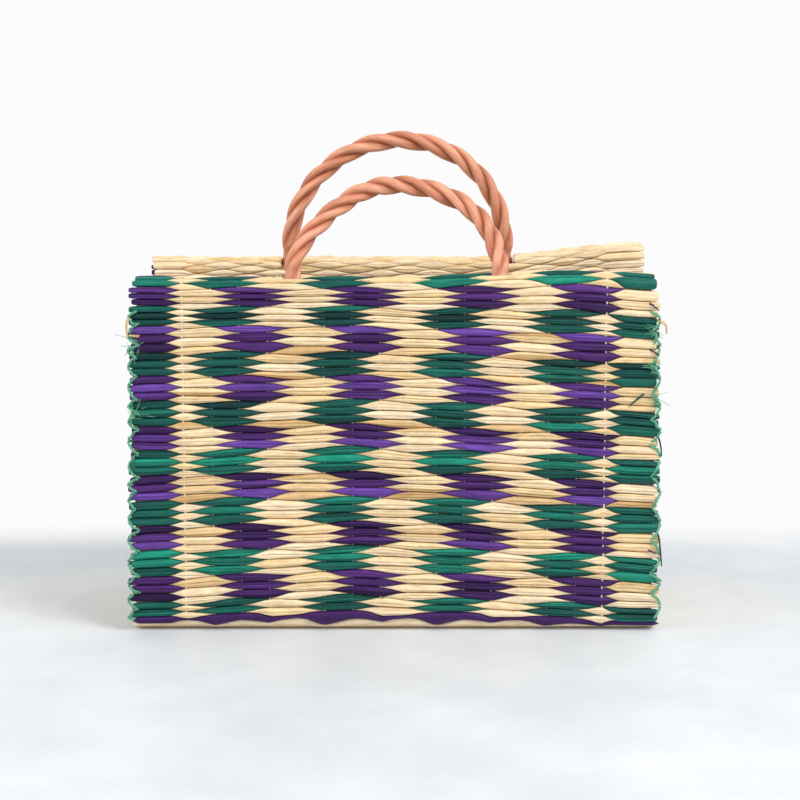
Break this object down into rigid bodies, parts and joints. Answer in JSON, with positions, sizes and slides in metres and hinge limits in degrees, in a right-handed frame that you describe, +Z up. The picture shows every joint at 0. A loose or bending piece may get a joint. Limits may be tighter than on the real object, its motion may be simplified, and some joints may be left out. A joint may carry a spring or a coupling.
{
  "type": "woven reed box bag",
  "caption": "Open-topped box bag of woven reed matting with a dyed check, sewn-in ends and twisted willow handles that tilt at the rim.",
  "frame": {"origin": "on the table under the middle of the bag", "axes": "+X along the bag's width to the right of its front, +Y from the front wall to the back wall, +Z up"},
  "size_m": [0.301, 0.1232, 0.2812],
  "materials": {
    "natural_reed": "dry, slightly silky straw-coloured reed",
    "green_reed": "dyed reed, satin",
    "purple_reed": "dyed reed, satin",
    "willow": "boiled and peeled willow, satin",
    "seam_string": "twisted string, slightly fuzzy"
  },
  "bodies": {
    "bag": {"reed_mat": "natural_reed", "left_end_panel": "natural_reed", "right_end_panel": "natural_reed", "front_green_reeds": "green_reed", "front_purple_reeds": "purple_reed", "front_natural_reeds": "natural_reed", "back_green_reeds": "green_reed", "back_purple_reeds": "purple_reed", "back_natural_reeds": "natural_reed", "front_left_seam": "seam_string", "front_right_seam": "seam_string", "back_left_seam": "seam_string", "back_right_seam": "seam_string", "left_base_seam": "seam_string", "right_base_seam": "seam_string"},
    "front_handle": {"front_handle": "willow"},
    "back_handle": {"back_handle": "willow"}
  },
  "joints": [
    {"name": "front_handle_tilt", "type": "hinge", "parent": "bag", "child": "front_handle", "pos_m": [0, -0.052, 0.198], "axis": [1, 0, 0], "range_deg": [0, 40]},
    {"name": "back_handle_tilt", "type": "hinge", "parent": "bag", "child": "back_handle", "pos_m": [0, 0.052, 0.198], "axis": [1, 0, 0], "range_deg": [-6, 34]}
  ]
}
